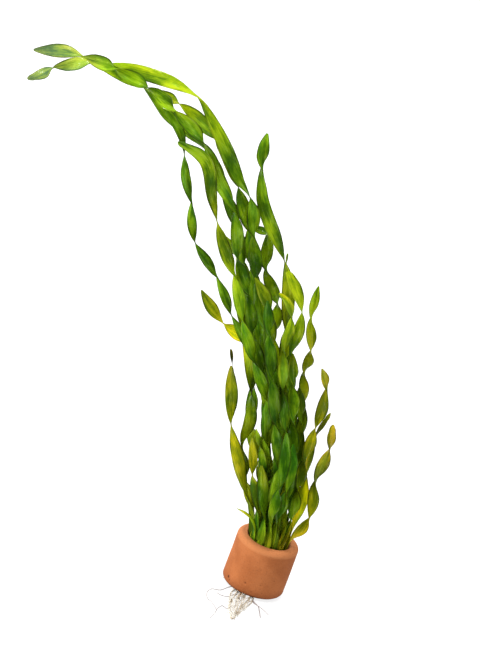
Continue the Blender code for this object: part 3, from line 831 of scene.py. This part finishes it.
def blade_tree():
    """Sweeps a leaf's cross-section along its line, then ruffles the margins."""
    tree = bpy.data.node_groups.new("leaf_blade", "GeometryNodeTree")
    tree_socket(tree, "Line", "NodeSocketGeometry")
    tree_socket(tree, "Thickness", "NodeSocketFloat", 0.06)
    tree_socket(tree, "Rib", "NodeSocketFloat", 0.05)
    tree_socket(tree, "Ruffle", "NodeSocketFloat", 0.0004)
    tree_socket(tree, "Seed", "NodeSocketFloat", 0.0)
    tree_socket(tree, "Finish", "NodeSocketMaterial")
    tree.interface.new_socket("Blade", in_out="OUTPUT", socket_type="NodeSocketGeometry")
    recipe = Recipe(tree)
    given = tree.nodes.new("NodeGroupInput")
    line, thickness, rib, ruffle, seed, finish = [Wire(recipe, s) for s in given.outputs[:6]]
    across = recipe.node("GeometryNodeInputNamedAttribute", {"data_type": "FLOAT_VECTOR"}, {"Name": "across"})
    half = recipe.node("GeometryNodeInputNamedAttribute", {"data_type": "FLOAT"}, {"Name": "half"})
    line = recipe.node("GeometryNodeMeshToCurve", None, {"Mesh": line})
    line = recipe.node("GeometryNodeSetCurveNormal", {"mode": "FREE"}, {"Curve": line, "Normal": across})
    ring = recipe.node("GeometryNodeCurvePrimitiveCircle", None, {"Resolution": 22, "Radius": 1.0})
    place = recipe.node("GeometryNodeInputPosition")
    parts = recipe.node("ShaderNodeSeparateXYZ", None, {0: place}).socket.node
    side, skin = Wire(recipe, parts.outputs[0]), Wire(recipe, parts.outputs[1])
    bulge = rib * side.size().ramp(0.0, 0.22, 1.0, 0.0)
    cupped = (side * side - 0.35) * 0.13
    face = skin * (thickness + bulge) + cupped
    flat = recipe.node("ShaderNodeCombineXYZ", None, {0: side, 1: face, 2: 0.0})
    ring = recipe.node("GeometryNodeSetPosition", None, {"Geometry": ring, "Position": flat})
    ring = recipe.node("GeometryNodeStoreNamedAttribute", {"data_type": "FLOAT", "domain": "POINT"},
                       {"Geometry": ring, "Name": "side", "Value": side})
    sockets = {"Curve": line, "Profile Curve": ring, "Scale": half, "Fill Caps": True}
    blade = recipe.node("GeometryNodeCurveToMesh", None, sockets)
    where = recipe.node("GeometryNodeInputPosition")
    shift = recipe.node("ShaderNodeCombineXYZ", None, {0: seed, 1: seed * 1.7, 2: 0.0})
    spot = recipe.node("ShaderNodeVectorMath", {"operation": "ADD"}, {0: where, 1: shift})
    wave = recipe.grain(spot, 95.0, 2.0, 0.5) - 0.5
    margin = recipe.node("GeometryNodeInputNamedAttribute", {"data_type": "FLOAT"}, {"Name": "side"})
    normal = recipe.node("GeometryNodeInputNamedAttribute", {"data_type": "FLOAT_VECTOR"}, {"Name": "face"})
    amount = wave * margin * margin * ruffle * 3.0
    push = recipe.node("ShaderNodeVectorMath", {"operation": "SCALE"}, {0: normal, "Scale": amount})
    blade = recipe.node("GeometryNodeSetPosition", None, {"Geometry": blade, "Offset": push})
    blade = recipe.node("GeometryNodeRealizeInstances", None, {"Geometry": blade})
    blade = recipe.node("GeometryNodeSetMaterial", None, {"Geometry": blade, "Material": finish})
    out = tree.nodes.new("NodeGroupOutput")
    tree.links.new(blade.socket, out.inputs[0])
    return tree


def leaf_skin():
    recipe, shader, skin = finish_named("leaf_skin")

    def noted(name, output=2):
        return recipe.node("ShaderNodeAttribute", {"attribute_name": name}, None, output)

    side, along, seed, fold, sheer = (noted(n) for n in ("side", "along", "seed", "fold", "sheer"))
    paint = noted("paint", 1)

    def grown(across, along_scale, detail=2.0, rough=0.55):
        """Noise stretched along the blade: cells per half-width, and per metre of its length."""
        where = recipe.node("ShaderNodeCombineXYZ", None, {0: side * across, 1: along * along_scale, 2: seed})
        return recipe.grain(where, 1.0, detail, rough)

    streak = grown(7.0, 57.0, 3.0, 0.6)
    fibre = grown(13.0, 170.0)
    band = grown(2.3, 38.0, 3.0, 0.6)
    patch = grown(1.1, 85.0, 3.0)
    lit_side = (grown(0.0, 21.0, 0.0) - 0.5) * 7.0
    mood = grown(0.35, 33.0, 1.0)
    age = grown(0.8, 27.0)
    veins = (side * 24.0 + streak * 3.0).wave().ramp(0.0, 1.0)
    rib = side.size().ramp(0.02, 0.12, 1.0, 0.0)
    margin = side.size().ramp(0.74, 0.90) * band.ramp(0.30, 0.60, 1.0, 0.5)
    tone = (patch - 0.5) * 1.5 + (band - 0.5) * 2.0 + (fibre - 0.5) * 1.2 + (mood - 0.5) * 2.8
    # Painted light and shade: lit_side lightens one half of the blade and shades the other, changing over
    # along its length.
    tone = tone + (lit_side * side).ramp(-1.2, 1.2, -0.22, 0.22)
    paint = recipe.mix(age.ramp(0.52, 0.70) * 0.75, paint, recipe.tint(paint, (1.34, 1.08, 1.0)))
    paint = recipe.mix(age.ramp(0.32, 0.47, 1.0, 0.0) * 0.75, paint, recipe.tint(paint, (0.64, 0.94, 2.6)))
    # light and dark are paler and darker copies of the paint. Where tone is high, the paler copy gives pale
    # patches and painted highlights. Where it is low, the darker copy gives dark patches and painted shade.
    light = recipe.tint(paint, (2.55, 2.00, 2.6))
    dark = recipe.tint(paint, (0.36, 0.48, 0.9))
    colour = recipe.mix(tone.ramp(0.00, 0.55), paint, light)
    colour = recipe.mix(tone.ramp(-0.42, -0.02, 1.0, 0.0), colour, dark)
    colour = recipe.mix(veins * 0.40, colour, recipe.tint(colour, (0.50, 0.62, 0.8)))
    colour = recipe.mix(rib * 0.35, colour, recipe.tint(colour, (0.55, 0.70, 0.8)))
    # Painted shade in the folds, where the blade twists sharply.
    colour = recipe.mix(fold * 0.70, colour, recipe.tint(colour, (0.36, 0.40, 0.8)))
    # Dark margins: partly the leaves' own dark rims, partly painted shade for the dark lines where a blade
    # turns edge-on at its waists.
    colour = recipe.mix(margin * 0.85, colour, (0.024, 0.024, 0.004, 1.0))
    feed(shader, "Base Color", colour)
    feed(shader, "Roughness", streak.ramp(0.3, 0.7, 0.22, 0.42))
    feed(shader, "Normal", recipe.bump(veins * 0.5 + streak * 0.8 + fibre * 0.6, 0.14 * MM, 0.8))
    feed(shader, "Coat Weight", (band + fibre * 0.5).ramp(0.78, 0.92) * 0.7)
    shader.inputs["Coat Roughness"].default_value = 0.14
    shader.inputs["Specular IOR Level"].default_value = 0.0
    glow = recipe.node("ShaderNodeBsdfTranslucent", None, {"Color": (0.52, 0.58, 0.004, 1.0)})
    share = sheer * (1.0 - margin * 0.85) * (1.0 - fold * 0.6) * tone.ramp(-0.3, 0.3, 0.65, 1.35)
    both = recipe.node("ShaderNodeMixShader", None, {0: share, 1: Wire(recipe, shader.outputs[0]), 2: glow})
    recipe.tree.links.new(both.socket, skin.node_tree.nodes["Material Output"].inputs["Surface"])
    return skin


def write_attribute(mesh, name, values, kind="FLOAT"):
    made = mesh.attributes.new(name, kind, "POINT")
    if kind == "FLOAT":
        made.data.foreach_set("value", np.asarray(values, dtype=np.float32))
    else:
        made.data.foreach_set("vector", np.asarray(values, dtype=np.float32).ravel())


blade = blade_tree()
leaf_finish = leaf_skin()


def painted(text, share):
    """The colour at each share of a leaf's length, from stops such as "0 green 100 lime"."""
    words = text.split()
    places = [float(word) / 100.0 for word in words[0::2]]
    paints = [PAINTS[word] for word in words[1::2]]
    return np.stack([np.interp(share, places, channel) for channel in zip(*paints)], axis=1)


def grown_blade(name, path, across, wide, paints, number):
    """A leaf's finished piece: its line, widths and colours swept by the leaf blade tree."""
    along = np.cumsum([0.0] + steps_along(path))
    forward = np.gradient(np.array(path), axis=0)
    facing = np.cross(across, forward)
    facing /= np.linalg.norm(facing, axis=1)[:, None]
    paint = painted(paints, along / along[-1])
    line = polyline(name, path)
    write_attribute(line.data, "across", across, "FLOAT_VECTOR")
    write_attribute(line.data, "face", facing, "FLOAT_VECTOR")
    write_attribute(line.data, "paint", paint, "FLOAT_VECTOR")
    pale = np.clip(paint[:, 1] / SHEER_GREEN, 0.0, 1.0)
    write_attribute(line.data, "sheer", SHEER_LEAST + SHEER_GAIN * pale)
    write_attribute(line.data, "fold", twist_of(path, across))
    write_attribute(line.data, "half", wide)
    write_attribute(line.data, "along", along)
    write_attribute(line.data, "seed", np.full(len(path), number * 5.3))
    sweep = line.modifiers.new("Blade", "NODES")
    sweep.node_group = blade
    set_input(sweep, "Thickness", BLADE_THICK / float(wide.mean()))
    set_input(sweep, "Rib", RIB_THICK / float(wide.mean()))
    set_input(sweep, "Seed", number * 0.37)
    set_input(sweep, "Finish", leaf_finish)
    mesh = made_plain(line)
    mesh.name = name
    mesh.polygons.foreach_set("use_smooth", [True] * len(mesh.polygons))
    piece = bpy.data.objects.new(name, mesh)
    bpy.context.scene.collection.objects.link(piece)
    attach(piece, "root")
    return piece


leaf_names = sorted(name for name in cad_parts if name.startswith("leaf_"))
for number, name in enumerate(leaf_names):
    flatness = LONE_FLATNESS if name in LONE_LEAVES else BUNCH_FLATNESS
    path, across, wide = smooth_leaf(stations_of(name), flatness)
    wide = wide.max() * (wide / wide.max()) ** LOBE_FILL
    wide = wide + FULLNESS * np.clip(wide / NARROW, 0.0, 1.0)
    tip_half = ROUND_TIPS.get(name, POINTED_TIP) * MM
    wide = ended(path, wide, tip_half, THIN_TAILS.get(name, WIDE_TAIL) * MM)
    wide = fill_the_mouth(path, across, wide)
    leaf_piece = grown_blade(name.replace("leaf", "blade"), path, across, wide, LEAF_PAINTS[name], number)
    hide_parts(name)


# Crown sheaths
# Short broad leaf bases that wrap the crown of the plant just above the pot. They overlap like the
# layers of a leek, are palest at the foot, and hide where the long leaves grow together.
SHEATHS = [
    # turn about the crown from the front in degrees, reach from the axis, height and half-width in
    # millimetres, colour
    (-70, 9.0, 32, 5.0, "green"), (-50, 12.6, 25, 5.8, "leaf"), (-30, 13.8, 40, 6.2, "green"),
    (-10, 14.2, 24, 6.4, "lime"), (10, 14.0, 36, 6.4, "green"), (28, 13.6, 24, 5.9, "gold"),
    (46, 14.0, 33, 6.0, "olive"), (66, 13.8, 26, 5.6, "yellow"), (90, 12.6, 32, 5.0, "gold"),
    (118, 12.2, 40, 5.0, "leaf"), (146, 12.4, 30, 5.2, "olive"), (172, 12.2, 38, 5.2, "leaf"),
    (-160, 12.4, 29, 5.2, "olive"), (-130, 12.4, 36, 5.0, "leaf"), (-102, 12.8, 29, 4.8, "olive"),
    (0, 10.4, 48, 6.0, "green"), (34, 10.2, 44, 5.6, "olive"), (-42, 10.2, 50, 5.6, "forest"),
]
# A sheath starts at SHEATH_FOOT in the root ball, leans out to the pot's mouth at SHEATH_MOUTH and
# rises from SHEATH_BEND, all heights in millimetres. It is broadest halfway and tapers to its tip.
SHEATH_FOOT = 33.5
SHEATH_MOUTH = 41.0
SHEATH_BEND = 37.0
SHEATH_NARROW = 0.72
SHEATH_TAPER = 0.90
# The sheaths' numbers, which vary their skin, start past the leaves' numbers.
FIRST_SHEATH = 40
LUCK_SEED = 11


def sheath_line(outward, drift, reach, tall):
    """A sheath's line, from points at a reach from the axis, a share of the drift and a height."""
    points = [(reach - 4.0, 0.0, SHEATH_FOOT), (reach - 0.6, 0.0, SHEATH_MOUTH),
              (reach, 0.5, SHEATH_BEND + tall * 0.45), (reach - 0.5, 1.0, SHEATH_FOOT + tall)]
    knots = [outward * out + drift * share + Vector((0, 0, height)) for out, share, height in points]
    return through([knot * MM for knot in knots], BLADE_STEP)


luck = random.Random(LUCK_SEED)
for number, (turn_deg, reach, tall, half_width, tone) in enumerate(SHEATHS):
    a = math.radians(turn_deg - 90.0)
    outward = Vector((math.cos(a), math.sin(a), 0.0))
    sideways = Vector((-math.sin(a), math.cos(a), 0.0))
    drift = sideways * luck.uniform(-2.5, 2.5)
    path = sheath_line(outward, drift, reach, tall)
    share = np.linspace(0.0, 1.0, len(path))
    belly = SHEATH_NARROW + (1.0 - SHEATH_NARROW) * np.sin(share * math.pi)
    wide = half_width * MM * belly * (1.0 - SHEATH_TAPER * share**4.0)
    twist = math.radians(luck.uniform(-16, 16)) + share * math.radians(luck.uniform(-50, 50))
    across = np.outer(np.cos(twist), sideways) + np.outer(np.sin(twist), outward)
    paints = f"0 yellow 18 {tone} 55 {tone} 100 green"
    grown_blade(f"crown_sheath_{number + 1:02d}", path, across, wide, paints, FIRST_SHEATH + number)
